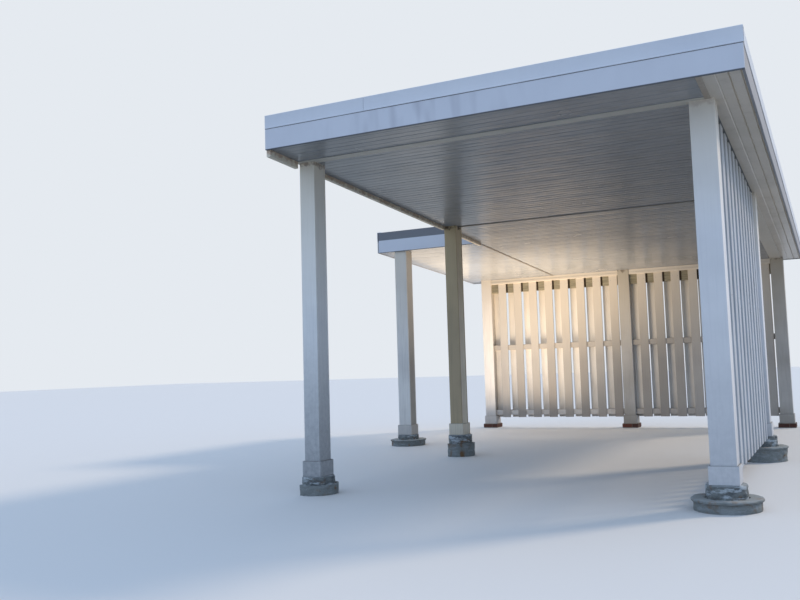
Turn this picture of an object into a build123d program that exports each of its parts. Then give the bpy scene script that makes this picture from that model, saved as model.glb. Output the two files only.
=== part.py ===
from build123d import *
import math
import os

# A carport with a low-pitched flat roof on boxed timber posts. All sizes are in millimetres.
# The front is at low Y. X runs along the front fascia, away from the wall side at X = 0.
# The roof falls towards the back. Behind the wall's rear corner it widens to the left.

# Roof outline, measured on the fascia boards
roof_width = 3970
roof_length = 8330
extension_width = 1601
extension_front = 4780
pitch_deg = 3.0

# Heights above the lowest ground, at the front edge
fascia_bottom = 3030
fascia_height = 300
board = 19
ceiling_lip = 6
panel = 12
deck = 24

# Roof edge strip, a folded drip edge over the top of each fascia
edge_height = 119
edge_proud = 5
edge_flange = 60
edge_fold = 6

# Ceiling panels with three ribs to each ten inches
rib_pitch = 84.7
rib_groove = 9
rib_depth = 5

# Posts, boxed in boards, with a skirt at the foot
post = 184
wall_post = 156
wall_gap = 28
lap_width = 3
lap_depth = 2
skirt_height = 136
skirt_board = 15
skirt_chamfer = 5

# Rows of posts: the Y of each front face, and the X of each left face
row_front = 476
row_mid = 3600
rear_overhang = 96
extension_setback = 25
post_rear_mid = 1131
side_overhang = 264
ceiling_inset = 25

# Feet: the top of each base, where the skirt begins
foot_front_left = 160
foot_front_right = 186
foot_mid = 262
foot_extension = 155
foot_rear = 72

# Round concrete piers. A thin collar lies round them at the level of the drive, on a footing
# that goes down to the lowest ground. On the wall side there is no collar.
pier_dia = 300
footing_dia = 484
collar_dia = 512
collar = 22
wall_footing_dia = 360
drive_front = 90
drive_mid = 155

# Brick bases under the rear row
brick_base = 255
brick_chamfer = 4

# Beams inside the roof
beam = 76
ledger = 38

# Trim
batten = 38
batten_depth = 6
seam = 30
corner_batten = 42
wall_trim_depth = 64
wall_trim = 38
beam_trim_depth = 10

# Shadow-box screens: boards on both faces of rails, staggered by half a pitch
slat = 140
rail_depth = 89
rail_height = 89
header_height = 155
plate = 38
plate_proud = 19
rear_first_gap = 130
rear_last_gap = 18
rear_slats = 8
side_first_gap = 116
side_last_gap = 10
side_slats = 11
rear_screen_bottom = 179
side_screen_bottom = 240
rail_lift = 40
frieze = 45
side_frieze = 25

slope = math.tan(math.radians(pitch_deg))
post_right = roof_width - side_overhang - post
post_rear_left = side_overhang - extension_width
row_rear = roof_length - rear_overhang - post
row_extension = extension_front + extension_setback
inner_right = roof_width - board
inner_rear = roof_length - board
inner_left = board - extension_width
screen_depth = rail_depth + 2 * board
screen_recess = (post - screen_depth) / 2
beam_height = fascia_height - ceiling_lip - panel - deck
ceiling_edge = post_right + post - ceiling_inset


def fascia_line(y):
    """Height of the fascia's lower edge at this Y."""
    return fascia_bottom - slope * y


def ceiling(y):
    """Height of the ceiling's visible face at this Y."""
    return fascia_line(y) + ceiling_lip


def side_prism(points, x0, x1):
    """A prism along X from x0 to x1, from an outline of (y, z) points."""
    outline = make_face(Polyline(*points, close=True))
    return extrude(Plane.YZ.offset(x0) * outline, amount=x1 - x0)


def sloped_slab(x0, x1, y0, y1, low, high):
    """A slab with plumb ends that follows the ceiling, from low to high above its face."""
    points = [(y0, ceiling(y0) + low), (y1, ceiling(y1) + low),
              (y1, ceiling(y1) + high), (y0, ceiling(y0) + high)]
    return side_prism(points, x0, x1)


def upright(x0, x1, y0, y1, z0, short=0):
    """A plumb piece from z0 up to the ceiling, or short of it, its top cut to the slope."""
    points = [(y0, z0), (y1, z0), (y1, ceiling(y1) - short), (y0, ceiling(y0) - short)]
    return side_prism(points, x0, x1)


def block(x0, x1, y0, y1, z0, z1):
    """A level box from corner to corner."""
    return Pos(x0, y0, z0) * Box(x1 - x0, y1 - y0, z1 - z0, align=(Align.MIN,) * 3)


def groove_starts(start, end, first):
    """Where the rib grooves lie between two edges, from the first one inwards."""
    count = int((end - start - first - rib_groove) // rib_pitch) + 1
    return [start + first + i * rib_pitch for i in range(count)]


def ribbed_across(x0, x1, y0, y1):
    """A ceiling panel whose V grooves run along X."""
    points = [(y0, ceiling(y0))]
    for y in groove_starts(y0, y1, rib_pitch / 2):
        points += [(y, ceiling(y)),
                   (y + rib_groove / 2, ceiling(y + rib_groove / 2) + rib_depth),
                   (y + rib_groove, ceiling(y + rib_groove))]
    points += [(y1, ceiling(y1)), (y1, ceiling(y1) + panel), (y0, ceiling(y0) + panel)]
    return side_prism(points, x0, x1)


def ribbed_along(x0, x1, y0, y1):
    """A soffit panel whose V grooves run down the slope."""
    points = [(x0, 0)]
    for x in groove_starts(x0, x1, rib_pitch):
        points += [(x, 0), (x + rib_groove / 2, rib_depth), (x + rib_groove, 0)]
    points += [(x1, 0), (x1, panel), (x0, panel)]
    outline = make_face(Polyline(*points, close=True))
    section = Location((0, y0, ceiling(y0)), (90, 0, 0)) * outline
    run = Vector(0, y1 - y0, ceiling(y1) - ceiling(y0))
    return extrude(section, amount=run.length, dir=run.normalized())


def make_post(x, y, width, foot):
    """A boxed post with lapped corner boards and a skirt round its foot."""
    section = Rectangle(width, post)
    for side_x in (-1, 1):
        for side_y in (-1, 1):
            notch = Rectangle(2 * lap_depth, lap_width)
            section -= Pos(side_x * width / 2, side_y * (post / 2 - board), 0) * notch
    centre = Pos(x + width / 2, y + post / 2, foot)
    shaft = centre * extrude(section, amount=fascia_bottom)
    shaft &= upright(x, x + width, y, y + post, foot)
    skirt = Rectangle(width + 2 * skirt_board, post + 2 * skirt_board)
    skirt = extrude(skirt, amount=skirt_height)
    skirt = chamfer(skirt.faces().sort_by(Axis.Z)[-1].edges(), skirt_chamfer)
    return shaft + centre * skirt


def turned(points, x, y, width):
    """A round solid about a post's own axis, from an outline of (radius, z) points."""
    profile = Plane.XZ * make_face(Polyline(*points, close=True))
    return Pos(x + width / 2, y + post / 2, 0) * revolve(profile, Axis.Z)


def make_pier(x, y, width, top, drive):
    """A round concrete pier in the drive, with a thin collar over its footing."""
    points = [(0, 0), (footing_dia / 2, 0), (footing_dia / 2, drive - collar),
              (collar_dia / 2, drive - collar), (collar_dia / 2 - collar / 2, drive),
              (pier_dia / 2, drive), (pier_dia / 2, top), (0, top)]
    return turned(points, x, y, width)


def make_wall_pier(x, y, width, top, drive):
    """A pier beside the wall, cut off where the wall's face is."""
    points = [(0, 0), (wall_footing_dia / 2, 0), (wall_footing_dia / 2, drive),
              (pier_dia / 2, drive), (pier_dia / 2, top), (0, top)]
    room = block(0, x + wall_footing_dia, y - wall_footing_dia, y + post + wall_footing_dia, 0, top)
    return turned(points, x, y, width) & room


def make_brick_base(x, y, width, top):
    """A square base of bricks on the ground."""
    base = extrude(Rectangle(brick_base, brick_base), amount=top)
    base = chamfer(base.faces().sort_by(Axis.Z)[-1].edges(), brick_chamfer)
    return Pos(x + width / 2, y + post / 2, 0) * base


def foot_zone(x, y, foot):
    """The room that a post's skirt and the pier under it take, which screens are cut round."""
    wide = post + 2 * skirt_board
    skirt = extrude(Rectangle(wide, wide), amount=skirt_height)
    pier = Pos(0, 0, -foot) * extrude(Circle(pier_dia / 2), amount=foot)
    return Pos(x + post / 2, y + post / 2, foot) * (skirt + pier)


def slat_starts(low, high, count, first_gap, last_gap):
    """Where the front boards begin: a wide gap first, a narrow one last."""
    step = (high - low - first_gap - slat - last_gap) / (count - 1)
    return [low + first_gap + i * step for i in range(count)]


def gap_centres(low, starts):
    """The middle of each gap in front boards, where a back board stands."""
    edges = [low] + [s + slat for s in starts[:-1]]
    return [(edge + start) / 2 for edge, start in zip(edges, starts)]


def rear_screen(x0, x1):
    """A screen across the back, with a header and a protruding plate above its boards."""
    front = row_rear + screen_recess
    rails = front + board
    back = rails + rail_depth
    low = rear_screen_bottom
    plate_top = ceiling(front) - frieze
    plate_low = plate_top - plate
    starts = slat_starts(x0, x1, rear_slats, rear_first_gap, rear_last_gap)
    screen = block(x0, x1, rails, back, plate_low - header_height, plate_low)
    screen += block(x0, x1, rails, back, low + rail_lift, low + rail_lift + rail_height)
    middle = (low + plate_low) / 2
    screen += block(x0, x1, rails, back, middle, middle + rail_height)
    screen += block(x0, x1, front - plate_proud, back + board, plate_low, plate_top)
    screen += upright(x0, x1, rails, back + board, plate_top)
    for x in starts:
        screen += block(x, x + slat, front, rails, low, plate_low)
    for x in gap_centres(x0, starts):
        left = max(x - slat / 2, x0)
        screen += block(left, x + slat / 2, back, back + board, low, plate_low)
    for x in (x0 - post, x1):
        screen -= foot_zone(x, row_rear, foot_rear)
    return screen


def side_screen(y0, y1):
    """A screen down the open side, its boards cut to the slope of the ceiling."""
    outer = post_right + post - screen_recess
    rails = outer - board
    inner = rails - rail_depth
    low = side_screen_bottom
    starts = slat_starts(y0, y1, side_slats, side_first_gap, side_last_gap)
    middle = (low + ceiling(y1)) / 2
    screen = sloped_slab(inner, rails, y0, y1, -header_height, 0)
    screen += block(inner, rails, y0, y1, low + rail_lift, low + rail_lift + rail_height)
    screen += block(inner, rails, y0, y1, middle, middle + rail_height)
    for y in starts:
        screen += upright(rails, outer, y, y + slat, low, side_frieze)
    for y in gap_centres(y0, starts):
        near = max(y - slat / 2, y0)
        screen += upright(inner - board, inner, near, y + slat / 2, low)
    screen -= foot_zone(post_right, y0 - post, foot_front_right)
    screen -= foot_zone(post_right, y1, foot_mid)
    return screen


def fascia_across(x0, x1, y0):
    """A fascia board along X with plumb faces, its edges cut to the slope."""
    y1 = y0 + board
    points = [(y0, fascia_line(y0)), (y1, fascia_line(y1)),
              (y1, fascia_line(y1) + fascia_height), (y0, fascia_line(y0) + fascia_height)]
    return side_prism(points, x0, x1)


def fascia_along(x0, y0, y1):
    """A fascia board down the slope, plumb cut at both ends."""
    points = [(y0, fascia_line(y0)), (y1, fascia_line(y1)),
              (y1, fascia_line(y1) + fascia_height), (y0, fascia_line(y0) + fascia_height)]
    return side_prism(points, x0, x0 + board)


def edge_across(x0, x1, y_face, inward):
    """A drip edge along X: a leg on the fascia's face and a flange over its top."""
    def top(y):
        return fascia_line(y) + fascia_height
    y_out = y_face - inward * edge_proud
    y_in = y_face + inward * edge_flange
    leg = fascia_line(y_face) + fascia_height + edge_fold - edge_height
    points = [(y_out, leg), (y_face, leg), (y_face, top(y_face)), (y_in, top(y_in)),
              (y_in, top(y_in) + edge_fold), (y_out, top(y_out) + edge_fold)]
    return side_prism(points, x0, x1)


def edge_along(x_face, inward, y0, y1):
    """A drip edge down the slope, with the same leg and flange."""
    high = fascia_height + edge_fold
    points = [(-edge_proud, high - edge_height), (0, high - edge_height), (0, fascia_height),
              (edge_flange, fascia_height), (edge_flange, high), (-edge_proud, high)]
    points = [(x_face + inward * u, v) for u, v in points]
    outline = make_face(Polyline(*points, close=True))
    section = Location((0, y0, fascia_line(y0)), (90, 0, 0)) * outline
    run = Vector(0, y1 - y0, fascia_line(y1) - fascia_line(y0))
    return extrude(section, amount=run.length, dir=run.normalized())


parts = {}

# Posts and what they stand on
posts = {
    "front_left": (wall_gap, row_front, wall_post, foot_front_left),
    "front_right": (post_right, row_front, post, foot_front_right),
    "mid_left": (wall_gap, row_mid, wall_post, foot_mid),
    "mid_right": (post_right, row_mid, post, foot_mid),
    "extension": (post_rear_left, row_extension, post, foot_extension),
    "rear_left": (post_rear_left, row_rear, post, foot_rear),
    "rear_mid": (post_rear_mid, row_rear, post, foot_rear),
    "rear_right": (post_right, row_rear, post, foot_rear),
}
for name, place in posts.items():
    parts["post_" + name] = make_post(*place)
for name, drive in (("front_left", drive_front), ("mid_left", drive_mid)):
    parts["pier_" + name] = make_wall_pier(*posts[name], drive)
for name, drive in (("front_right", drive_front), ("mid_right", drive_mid),
                    ("extension", drive_front)):
    parts["pier_" + name] = make_pier(*posts[name], drive)
for name in ("rear_left", "rear_mid", "rear_right"):
    parts["brick_base_" + name] = make_brick_base(*posts[name])

# Fascias and the edge strips over them
parts["fascia_front"] = fascia_across(0, roof_width, 0)
parts["fascia_right"] = fascia_along(inner_right, board, inner_rear)
parts["fascia_rear"] = fascia_across(-extension_width, roof_width, inner_rear)
parts["fascia_left"] = fascia_along(-extension_width, extension_front, inner_rear)
parts["extension_ledger"] = fascia_across(inner_left, 0, extension_front)
parts["roof_edge_front"] = edge_across(0, roof_width + edge_proud, 0, 1)
parts["roof_edge_right"] = edge_along(roof_width, -1, edge_flange, roof_length - edge_flange)
parts["roof_edge_rear"] = edge_across(-extension_width - edge_proud, roof_width + edge_proud,
                                      roof_length, -1)
parts["roof_edge_left"] = edge_along(-extension_width, 1, extension_front,
                                     roof_length - edge_flange)

# Beams inside the roof, and the deck on them
over_panel = panel
over_beam = panel + beam_height
parts["wall_ledger"] = sloped_slab(0, ledger, board, extension_front, over_panel, over_beam)
for name, y, left in (("front", row_front, ledger), ("mid", row_mid, ledger),
                      ("rear", row_rear, inner_left)):
    y0 = y + (post - beam) / 2
    parts["beam_" + name] = sloped_slab(left, inner_right, y0, y0 + beam, over_panel, over_beam)
parts["deck_main"] = sloped_slab(0, inner_right, board, inner_rear, over_beam, over_beam + deck)
parts["deck_extension"] = sloped_slab(inner_left, 0, extension_front + board, inner_rear,
                                      over_beam, over_beam + deck)

# Ceiling and soffits
front_joint = row_front - batten / 2
mid_joint = row_mid + post / 2
parts["soffit_front"] = ribbed_across(0, ceiling_edge, board, front_joint)
parts["ceiling_front"] = ribbed_across(0, ceiling_edge, front_joint, mid_joint)
parts["ceiling_rear"] = ribbed_across(0, ceiling_edge, mid_joint, inner_rear)
parts["ceiling_extension"] = ribbed_across(inner_left, 0, extension_front + board, inner_rear)
parts["soffit_right"] = ribbed_along(ceiling_edge, inner_right, board, inner_rear)

# Trim under the ceiling
parts["trim_front"] = sloped_slab(0, ceiling_edge - corner_batten, row_front - batten, row_front,
                                  -batten_depth, 0)
parts["trim_corner"] = sloped_slab(ceiling_edge - corner_batten, ceiling_edge, board, row_front,
                                   -batten_depth, 0)
parts["trim_mid"] = sloped_slab(wall_gap + wall_post, post_right, mid_joint - batten / 2,
                                mid_joint + batten / 2, -batten_depth, 0)
parts["trim_seam"] = sloped_slab(-seam / 2, seam / 2, extension_front + board,
                                 row_rear + screen_recess - plate_proud, -batten_depth, 0)
parts["trim_right_beam"] = sloped_slab(post_right, ceiling_edge, row_mid + post, row_rear,
                                       -beam_trim_depth, 0)
wall_runs = [(board, row_front - batten), (row_front + post, row_mid),
             (row_mid + post, extension_front)]
parts["trim_wall"] = Compound(children=[
    sloped_slab(0, wall_trim, y0, y1, -wall_trim_depth, 0) for y0, y1 in wall_runs])

# Screens
parts["screen_side"] = side_screen(row_front + post, row_mid)
parts["screen_rear_left"] = rear_screen(post_rear_left + post, post_rear_mid)
parts["screen_rear_right"] = rear_screen(post_rear_mid + post, post_right)

# The origin is under the middle of the roof, on the ground
centre = Pos(-(roof_width - extension_width) / 2, -roof_length / 2, 0)
os.makedirs("parts", exist_ok=True)
for name, solid in parts.items():
    export_step(centre * solid, f"parts/{name}.step")
print(len(parts), "parts")
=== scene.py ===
import math
from functools import partial
import bpy
import numpy as np
from mathutils import Matrix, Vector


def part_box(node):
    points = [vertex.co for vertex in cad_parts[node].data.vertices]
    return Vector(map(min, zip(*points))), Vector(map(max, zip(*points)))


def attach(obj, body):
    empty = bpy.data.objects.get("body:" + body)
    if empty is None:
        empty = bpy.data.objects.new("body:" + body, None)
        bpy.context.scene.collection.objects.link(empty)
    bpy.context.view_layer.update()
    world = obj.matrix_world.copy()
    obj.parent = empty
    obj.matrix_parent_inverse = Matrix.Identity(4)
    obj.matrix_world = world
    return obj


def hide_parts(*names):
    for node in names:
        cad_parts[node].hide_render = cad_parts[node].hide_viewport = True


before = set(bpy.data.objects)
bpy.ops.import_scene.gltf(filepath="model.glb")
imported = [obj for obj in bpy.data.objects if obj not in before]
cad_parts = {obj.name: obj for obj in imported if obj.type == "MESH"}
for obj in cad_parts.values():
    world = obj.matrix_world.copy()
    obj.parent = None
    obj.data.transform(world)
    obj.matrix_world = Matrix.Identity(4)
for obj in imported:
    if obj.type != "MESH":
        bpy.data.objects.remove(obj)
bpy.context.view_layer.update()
print("frame loaded")


# Camera, as the photograph was taken. Image sizes are those of an 800 x 600 frame.

cameraLook = dict(
    position=(3.244, -10.059, 1.090),    # metres, in the part's frame
    yaw=-25.18, pitch=5.05, roll=-1.89,  # degrees; yaw turns left of +Y
    focalPixels=842.2, image=(800, 600), sensor=36, farthest=200,
    centrePixel=(441.7, 292.8))          # where the lens looks, a little right of the middle


def aim(yaw, tilt):
    # Tilt about X, and then a turn about Z, in degrees
    return Matrix.Rotation(math.radians(yaw), 4, "Z") @ Matrix.Rotation(math.radians(tilt), 4, "X")


def setCamera(look):
    # Yaw about Z, then pitch about the camera's right, then roll about its own line of sight
    data = bpy.data.cameras.new("camera")
    data.sensor_width = look["sensor"]
    width, height = look["image"]
    data.lens = look["focalPixels"] / width * look["sensor"]
    data.shift_x = (width / 2 - look["centrePixel"][0]) / width
    data.shift_y = (look["centrePixel"][1] - height / 2) / width
    data.clip_end = look["farthest"]
    camera = bpy.data.objects.new("camera", data)
    bpy.context.collection.objects.link(camera)
    roll = Matrix.Rotation(math.radians(look["roll"]), 4, "Z")
    camera.matrix_world = (Matrix.Translation(look["position"])
                           @ aim(-look["yaw"], 90 + look["pitch"]) @ roll)
    bpy.context.scene.camera = camera


setCamera(cameraLook)
print("camera set")


# Helpers for colours, noise and meshes

def toLinear(hexColour):
    # sRGB to linear: c / 12.92 below 0.04045, otherwise ((c + 0.055) / 1.055) ^ 2.4
    channels = np.array([int(hexColour[i:i + 2], 16) / 255 for i in (1, 3, 5)])
    linear = np.where(channels <= 0.04045, channels / 12.92, ((channels + 0.055) / 1.055) ** 2.4)
    return (*linear.tolist(), 1)


def ripple(points, size, seed, waves=14):
    # A smooth uneven field between about -1 and 1: a sum of sines of k . p + phase, where each
    # wave vector k points another way and has a length near 2 pi / size
    rng = np.random.default_rng(seed)
    direction = rng.normal(size=(waves, points.shape[-1]))
    direction /= np.linalg.norm(direction, axis=1, keepdims=True)
    k = direction * (2 * np.pi / size * rng.uniform(0.6, 1.5, (waves, 1)))
    phase = rng.uniform(0, 2 * np.pi, waves)
    return np.sin(points @ k.T + phase).sum(axis=-1) / math.sqrt(waves / 2)


right, back, up = (1, 0, 0), (0, 1, 0), (0, 0, 1)
left, front = (-1, 0, 0), (0, -1, 0)


def boardSection(width, thick, chamfer=0.0015, bevel=None):
    # A rectangle with cut corners, counter-clockwise. The corner at +width, +thick takes the bevel.
    w, t, c = width / 2, thick / 2, chamfer
    b = chamfer if bevel is None else bevel
    return np.array([(c - w, -t), (w - c, -t), (w, c - t), (w, t - b),
                     (w - b, t), (c - w, t), (-w, t - c), (-w, c - t)])


def carry(section, starts, ends, across, out, steps=1, bow=0.0, rake=0.0, tilt=0.0, seed=0,
          material=0):
    # A section carried along straight runs: point = start + s (end - start) + a across + b out,
    # with (a, b) on the section and s from 0 to 1. A bow adds sin(pi s) times a random amount
    # along out, a tilt turns each run a little in its own plane, and a rake cuts the far end to
    # the roof's slope: z falls by rake s (y - start y).
    rng = np.random.default_rng(seed)
    starts = np.atleast_2d(np.array(starts, float))
    ends = np.atleast_2d(np.array(ends, float))
    count = len(starts)
    across = np.broadcast_to(np.array(across, float), (count, 3))
    out = np.broadcast_to(np.array(out, float), (count, 3))
    ends = ends + across * rng.normal(0, 1, (count, 1)) * tilt
    s = np.linspace(0, 1, steps + 1)[None, :, None, None]
    a = section[None, None, :, 0, None]
    b = section[None, None, :, 1, None]
    bend = np.sin(np.pi * s) * (rng.normal(0, 1, count) * bow)[:, None, None, None]
    run = (ends - starts)[:, None, None, :]
    points = starts[:, None, None, :] + s * run + a * across[:, None, None, :]
    points = points + (b + bend) * out[:, None, None, :]
    points[..., 2] -= rake * s[..., 0] * (points[..., 1] - starts[:, None, None, 1])
    sides = len(section)
    index = np.arange(count * (steps + 1) * sides).reshape(count, steps + 1, sides)
    turned = np.roll(index, -1, axis=2)
    walls = np.stack([index[:, :-1], turned[:, :-1], turned[:, 1:], index[:, 1:]], -1)
    caps = np.concatenate([index[:, 0, ::-1], index[:, -1]])
    faces = [walls.reshape(-1, 4), caps]
    if np.dot(np.cross(across[0], out[0]), ends[0] - starts[0]) < 0:
        faces = [f[:, ::-1] for f in faces]
    length = np.linalg.norm(ends - starts, axis=1)[:, None, None, None]
    place = rng.uniform(0, 40, (count, 1, 1, 1))    # each run has its own stretch of grain
    grain = np.concatenate(np.broadcast_arrays(a, s * length + place, b + place), -1)
    tone = np.broadcast_to(rng.uniform(0, 1, (count, 1, 1)), points.shape[:-1])
    return dict(points=points.reshape(-1, 3), faces=faces, grain=grain.reshape(-1, 3),
                tone=tone.reshape(-1), material=material)


def spots(x, y, z):
    # Points from three coordinates, where a single number is shared by all
    return np.stack(np.broadcast_arrays(x, y, z), -1).astype(float)


def slab(lower, upper):
    # A closed slab between two surfaces on one grid: quads below, quads above and strips
    # round the border that join the two
    rows, columns = lower.shape[:2]
    low = np.arange(rows * columns).reshape(rows, columns)
    below = np.stack([low[:-1, :-1], low[1:, :-1], low[1:, 1:], low[:-1, 1:]], -1).reshape(-1, 4)
    above = below[:, ::-1] + rows * columns
    border = np.concatenate([low[0, :-1], low[:-1, -1], low[-1, :0:-1], low[:0:-1, 0]])
    following = np.roll(border, -1)
    strip = np.stack([border, following, following + rows * columns, border + rows * columns], -1)
    points = np.concatenate([lower.reshape(-1, 3), upper.reshape(-1, 3)])
    faces = [below, above, strip]
    if np.cross(lower[1, 0] - lower[0, 0], lower[0, 1] - lower[0, 0])[2] > 0:
        faces = [f[:, ::-1] for f in faces]
    return dict(points=points, faces=faces, grain=points.copy(), tone=np.full(len(points), 0.5))


def makePiece(name, parts, materials, nodes=(), sharp=30):
    # Joins parts into one mesh. A part may name the number of its material, and 0 is the first.
    counts = np.cumsum([0] + [len(part["points"]) for part in parts])
    blocks = [(face + start, part.get("material", 0))
              for part, start in zip(parts, counts) for face in part["faces"]]
    loops = np.concatenate([face.ravel() for face, _ in blocks])
    sizes = np.concatenate([np.full(len(face), face.shape[1]) for face, _ in blocks])
    numbers = np.concatenate([np.full(len(face), number) for face, number in blocks])
    points = np.concatenate([part["points"] for part in parts])
    mesh = bpy.data.meshes.new(name)
    mesh.vertices.add(len(points))
    mesh.vertices.foreach_set("co", points.astype(np.float32).ravel())
    mesh.loops.add(len(loops))
    mesh.loops.foreach_set("vertex_index", loops.astype(np.int32))
    mesh.polygons.add(len(sizes))
    mesh.polygons.foreach_set("loop_start", (np.cumsum(sizes) - sizes).astype(np.int32))
    for material in materials:
        mesh.materials.append(material)
    mesh.polygons.foreach_set("material_index", numbers.astype(np.int32))
    mesh.polygons.foreach_set("use_smooth", np.ones(len(sizes), bool))
    for key, kind, field in (("grain", "FLOAT_VECTOR", "vector"), ("tone", "FLOAT", "value")):
        values = np.concatenate([part[key] for part in parts]).astype(np.float32)
        mesh.attributes.new(key, kind, "POINT").data.foreach_set(field, values.ravel())
    mesh.update(calc_edges=True)
    mesh.validate()
    mesh.set_sharp_from_angle(angle=math.radians(sharp))
    piece = bpy.data.objects.new(name, mesh)
    bpy.context.collection.objects.link(piece)
    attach(piece, "root")
    if nodes:
        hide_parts(*nodes)
    return piece


def pieceName(node):
    # post_front_left becomes postFrontLeft
    first, *others = node.split("_")
    return first + "".join(word.title() for word in others)


def addNode(tree, kind, settings={}, links={}):
    # Adds a node and gives its outputs. A setting is one of the node's own properties or the
    # value of a socket, where a colour is written in hex. A link is a socket and what feeds it.
    node = tree.nodes.new("ShaderNode" + kind)
    own = [key for key in settings if isinstance(key, str) and hasattr(node, key)]
    for key in own:
        setattr(node, key, settings[key])
    for key, value in settings.items():
        if key not in own:
            isColour = isinstance(value, str) and value.startswith("#")
            node.inputs[key].default_value = toLinear(value) if isColour else value
    for key, socket in links.items():
        tree.links.new(socket, node.inputs[key])
    return node.outputs


def startMaterial(name):
    # A new material, its shader, and addNode for its own tree
    material = bpy.data.materials.new(name)
    material.use_nodes = True
    tree = material.node_tree
    return material, tree.nodes["Principled BSDF"], partial(addNode, tree)


def finish(add, shader, shade, roughness, height, strength, distance):
    # Joins colour, roughness and bump to the shader. A roughness that is one number is set.
    bump = add("Bump", {"Strength": strength, "Distance": distance}, {"Height": height})[0]
    links = {"Base Color": shade, "Roughness": roughness, "Normal": bump}
    if isinstance(roughness, float):
        shader.inputs["Roughness"].default_value = links.pop("Roughness")
    for key, socket in links.items():
        shader.id_data.links.new(socket, shader.inputs[key])


def layOver(add, shade, layers):
    # Lays colours over one another. A layer is (source, from, to, share at from, share at to,
    # colour), and its share runs straight between the two ends. A socket after the colour is
    # multiplied with the share.
    for source, start, end, first, last, colour, *times in layers:
        share = add("MapRange", {"From Min": start, "From Max": end, "To Min": first,
                    "To Max": last}, {0: source})[0]
        for factor in times:
            share = add("Math", {"operation": "MULTIPLY", "use_clamp": True},
                        {0: share, 1: factor})[0]
        shade = add("Mix", {"data_type": "RGBA", 7: colour}, {0: share, 6: shade})[2]
    return shade


# Light and floor

stageLook = dict(
    floor="#DAD9D6", floorBounce="#9A9B9C",  # pale to the eye, darker where it lights the object
    floorSize=160, floorRoughness=0.9,
    backdrop="#E3E8EE", sky="#C3DCFF", skyStrength=1.02,
    sun="#FFE9CC", sunStrength=1.5, sunAngle=10, sunTurn=-42, sunHeight=38,  # from behind, on the right
    # Two warm lamps that no gloss shows: one in the rear bay, turned to the screens across the
    # back, and one just over the floor, turned up
    lamps=dict(
        fill=dict(colour="#FFEBD2", power=13.5, size=(1.2, 0.8), place=(-1.2, 0.95, 1.45),
                  turn=-20, tilt=100, spread=90),
        bounce=dict(colour="#FFE8CE", power=84, size=(1.8, 1.8), place=(-1.7, 2.7, 0.05),
                    turn=0, tilt=180, spread=115)),
    # Two upright cards that show only in gloss: a grey one along the left side of the main roof,
    # and a bright one along the wider bay. Heights are those of their front and rear ends.
    cards=(dict(colour="#A9B2BB", glow=1.0, heights=(3.0, 2.7)),
           dict(colour="#FFF0DE", glow=1.5, heights=(2.7, 2.55))),
    cardFoot=0.01, cardShort=0.25)


def addLamp(name, kind, power, colour, matrix):
    data = bpy.data.lights.new(name, kind)
    data.energy = power
    data.color = toLinear(colour)[:3]
    lamp = bpy.data.objects.new(name, data)
    bpy.context.collection.objects.link(lamp)
    lamp.matrix_world = matrix
    return lamp


def setStage(look):
    # The floor is pale only where it is seen, so that it doesn't light the ceiling like snow
    bpy.ops.mesh.primitive_plane_add(size=look["floorSize"])
    floor = bpy.context.object
    floor.name = "floor"
    material, shader, _ = startMaterial("floor")
    shader.inputs["Roughness"].default_value = look["floorRoughness"]
    floor.data.materials.append(material)
    world = bpy.context.scene.world or bpy.data.worlds.new("world")
    bpy.context.scene.world = world
    world.use_nodes = True
    background = world.node_tree.nodes["Background"]
    background.inputs["Strength"].default_value = look["skyStrength"]
    for node, key, lighting, pale in ((shader, "Base Color", look["floorBounce"], look["floor"]),
                                      (background, "Color", look["sky"], look["backdrop"])):
        # The pale colour is for what the camera sees straight, in gloss or through glass
        add = partial(addNode, node.id_data)
        rays = add("LightPath")
        seen = rays["Is Camera Ray"]
        for kind in ("Is Glossy Ray", "Is Transmission Ray"):
            seen = add("Math", {"operation": "MAXIMUM"}, {0: seen, 1: rays[kind]})[0]
        colour = add("Mix", {"data_type": "RGBA", 6: lighting, 7: pale}, {0: seen})[2]
        node.id_data.links.new(colour, node.inputs[key])
    sun = addLamp("sun", "SUN", look["sunStrength"], look["sun"],
                  aim(look["sunTurn"] + 180, 90 - look["sunHeight"]))
    sun.data.angle = math.radians(look["sunAngle"])
    for name, own in look["lamps"].items():
        lamp = addLamp(name, "AREA", own["power"], own["colour"],
                       Matrix.Translation(own["place"]) @ aim(own["turn"], own["tilt"]))
        lamp.data.shape = "RECTANGLE"
        lamp.data.size, lamp.data.size_y = own["size"]
        lamp.data.spread = math.radians(own["spread"])
        lamp.visible_camera = lamp.visible_glossy = False
    main, (bayLow, bayHigh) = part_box("deck_main")[0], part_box("deck_extension")
    spans = ((main.x, main.y, bayLow.y), (bayLow.x, bayLow.y, bayHigh.y - look["cardShort"]))
    for own, (x, y0, y1) in zip(look["cards"], spans):
        foot, (z0, z1) = look["cardFoot"], own["heights"]
        mesh = bpy.data.meshes.new("card")
        mesh.from_pydata([(x, y0, foot), (x, y1, foot), (x, y1, z1), (x, y0, z0)], [], [(0, 1, 2, 3)])
        card = bpy.data.objects.new("card", mesh)
        bpy.context.collection.objects.link(card)
        material, shader, _ = startMaterial("card")
        for key, value in (("Base Color", (0, 0, 0, 1)), ("Emission Strength", own["glow"]),
                           ("Emission Color", toLinear(own["colour"]))):
            shader.inputs[key].default_value = value
        mesh.materials.append(material)
        card.visible_camera = card.visible_diffuse = card.visible_shadow = False
        card.visible_transmission = False


setStage(stageLook)
print("stage set")


# Roof lines, from the frame: the ceiling falls towards the back

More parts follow.
